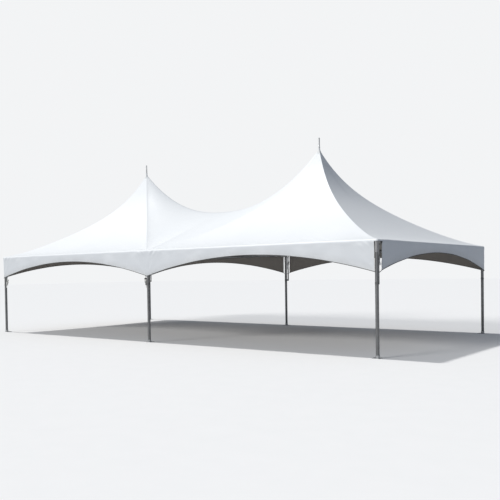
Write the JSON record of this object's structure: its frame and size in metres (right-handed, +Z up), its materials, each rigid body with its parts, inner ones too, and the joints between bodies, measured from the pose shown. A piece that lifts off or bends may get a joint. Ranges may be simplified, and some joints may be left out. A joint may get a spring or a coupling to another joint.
{
  "type": "high-peak marquee tent",
  "caption": "White marquee tent with concave high peaks over a round-tube frame, arched valances, mast cables and open sides.",
  "frame": {"origin": "on the ground, at the middle of the plan", "axes": "+Z up; +X along the long sides; the long side at -Y is the front"},
  "size_m": [12.192, 6.096, 4.985],
  "materials": {
    "canopy_vinyl": "white PVC-coated polyester, smooth satin",
    "frame_aluminium": "mill-finish tube, dulled",
    "fitting_aluminium": "cast and welded, matte",
    "plate_steel": "galvanised, dull",
    "cable_steel": "galvanised wire rope",
    "webbing": "woven polyester"
  },
  "bodies": {
    "root": {"base_plate_front_left": "plate_steel", "base_plate_front_middle": "plate_steel", "base_plate_front_right": "plate_steel", "base_plate_back_right": "plate_steel", "base_plate_back_middle": "plate_steel", "base_plate_back_left": "plate_steel", "leg_front_left": "frame_aluminium", "leg_front_middle": "frame_aluminium", "leg_front_right": "frame_aluminium", "leg_back_right": "frame_aluminium", "leg_back_middle": "frame_aluminium", "leg_back_left": "frame_aluminium", "eave_fitting_front_left": "fitting_aluminium", "eave_fitting_front_middle": "fitting_aluminium", "eave_fitting_front_right": "fitting_aluminium", "eave_fitting_back_right": "fitting_aluminium", "eave_fitting_back_middle": "fitting_aluminium", "eave_fitting_back_left": "fitting_aluminium", "eave_tube_front_left": "frame_aluminium", "eave_tube_front_right": "frame_aluminium", "eave_tube_back_left": "frame_aluminium", "eave_tube_back_right": "frame_aluminium", "eave_tube_left_end": "frame_aluminium", "eave_tube_right_end": "frame_aluminium", "middle_cross_tube": "frame_aluminium", "mast_left": "frame_aluminium", "mast_right": "frame_aluminium", "mast_cables_left": "cable_steel", "mast_cables_right": "cable_steel", "tie_down_strap_front_left": "webbing", "tie_down_strap_front_middle": "webbing", "tie_down_strap_front_right": "webbing", "tie_down_strap_back_right": "webbing", "tie_down_strap_back_middle": "webbing", "tie_down_strap_back_left": "webbing", "canopy_front_left": "canopy_vinyl", "canopy_front_right": "canopy_vinyl", "canopy_back_left": "canopy_vinyl", "canopy_back_right": "canopy_vinyl", "canopy_end_left": "canopy_vinyl", "canopy_end_right": "canopy_vinyl", "canopy_saddle_front": "canopy_vinyl", "canopy_saddle_back": "canopy_vinyl", "valance_front": "canopy_vinyl", "valance_back_left": "canopy_vinyl", "valance_back_right": "canopy_vinyl", "valance_left_end": "canopy_vinyl", "valance_right_end": "canopy_vinyl"}
  },
  "joints": []
}
